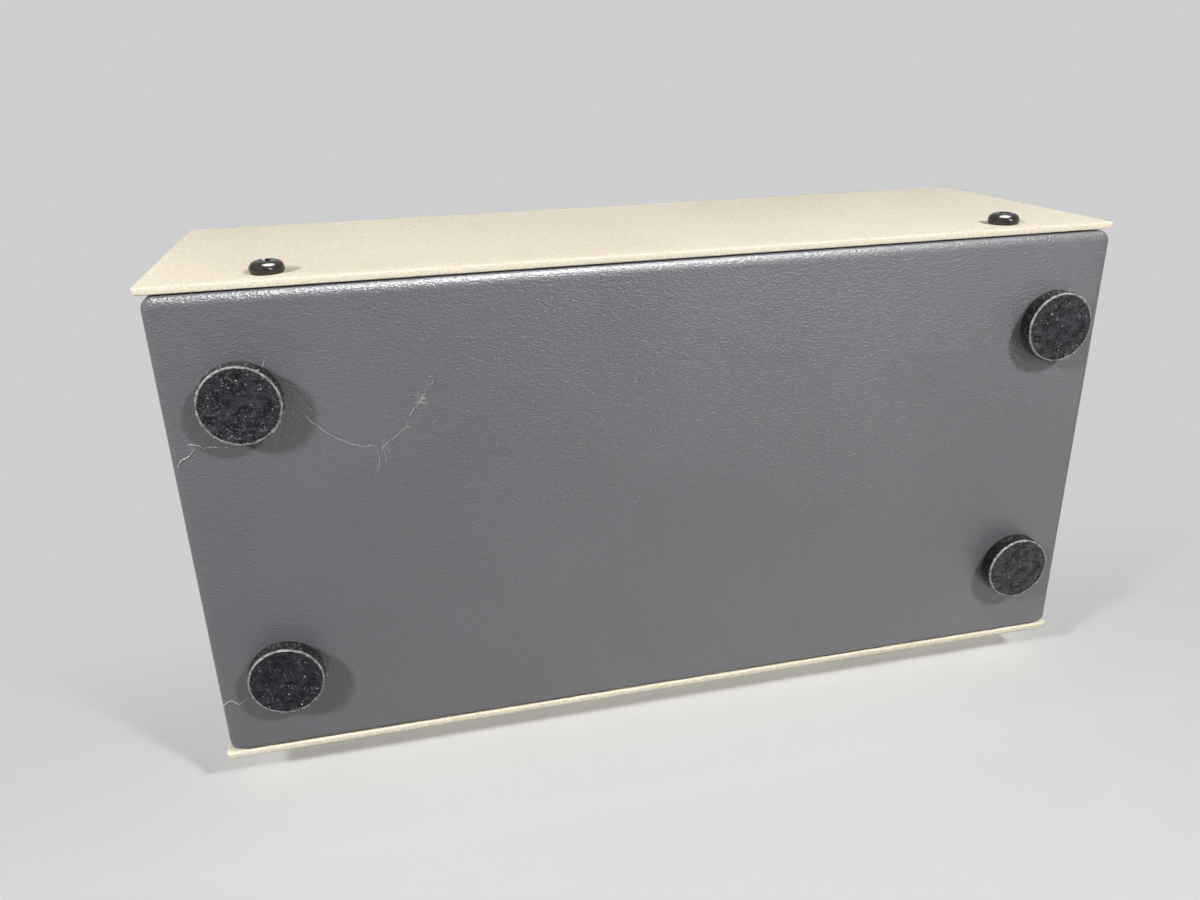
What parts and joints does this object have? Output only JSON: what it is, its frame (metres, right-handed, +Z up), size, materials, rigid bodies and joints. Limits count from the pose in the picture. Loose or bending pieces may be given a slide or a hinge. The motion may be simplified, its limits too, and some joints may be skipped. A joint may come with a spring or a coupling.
{
  "type": "line selector",
  "caption": "Low sheet-metal box with a folded cover on a tray, felt feet, a rotary selector knob on top and paired phono jacks at the rear, for choosing one line source.",
  "frame": {"origin": "centre of the casing on the plane that the felt feet stand on", "axes": "+Z up, +X to the right seen from the front, +Y to the rear with the jacks"},
  "size_m": [0.215, 0.1221, 0.0974],
  "materials": {
    "cover_paint": "ivory paint, fine texture",
    "chassis_paint": "grey leather-grain paint",
    "black_steel": "glossy black finish",
    "felt": "pressed felt",
    "tape": "adhesive tape",
    "plated_steel": "zinc plate",
    "die_cast": "die-cast zinc alloy",
    "nylon": "natural nylon",
    "phenolic": "paper laminate",
    "brass": "bright brass",
    "gold_plate": "gold plate",
    "knob_plastic": "satin black moulding",
    "cap_aluminium": "spun face",
    "pointer_white": "white inlay",
    "white_plastic": "moulded",
    "red_plastic": "moulded",
    "tinned_copper": "tinned wire",
    "white_wire": "insulated wire",
    "red_wire": "insulated wire"
  },
  "bodies": {
    "casing": {"cover": "cover_paint", "chassis": "chassis_paint", "clinch_nuts": "plated_steel", "cover_screws": "black_steel", "foot_front_left": "felt", "foot_front_right": "felt", "foot_rear_left": "felt", "foot_rear_right": "felt", "foot_tapes": "tape", "switch_frame": "die_cast", "switch_washer": "plated_steel", "switch_nut": "plated_steel", "detent_case": "plated_steel", "detent_balls": "plated_steel", "detent_spring": "plated_steel", "upper_wafer": "phenolic", "lower_wafer": "phenolic", "upper_clips": "brass", "lower_clips": "brass", "wafer_spacers": "plated_steel", "tie_rods": "plated_steel", "tie_nuts": "plated_steel", "in_1_shells": "gold_plate", "in_2_shells": "gold_plate", "in_3_shells": "gold_plate", "in_4_shells": "gold_plate", "out_shells": "gold_plate", "in_1_cores": "white_plastic", "in_2_cores": "white_plastic", "in_3_cores": "white_plastic", "in_4_cores": "white_plastic", "out_cores": "white_plastic", "in_1_contacts": "gold_plate", "in_2_contacts": "gold_plate", "in_3_contacts": "gold_plate", "in_4_contacts": "gold_plate", "out_contacts": "gold_plate", "left_jack_rings": "white_plastic", "right_jack_rings": "red_plastic", "jack_washers": "white_plastic", "jack_lugs": "plated_steel", "jack_nuts": "gold_plate", "ground_wires": "tinned_copper", "left_wires": "white_wire", "right_wires": "red_wire"},
    "selector": {"selector_shaft": "plated_steel", "detent_wheel": "nylon", "upper_rotor": "phenolic", "lower_rotor": "phenolic", "knob_body": "knob_plastic", "knob_cap": "cap_aluminium", "knob_pointer": "pointer_white", "knob_bush": "brass", "knob_grub_screw": "black_steel"}
  },
  "joints": [
    {"name": "selector_turn", "type": "hinge", "parent": "casing", "child": "selector", "pos_m": [0, -0.006, 0.0794], "axis": [0, 0, -1], "range_deg": [0, 90]}
  ]
}
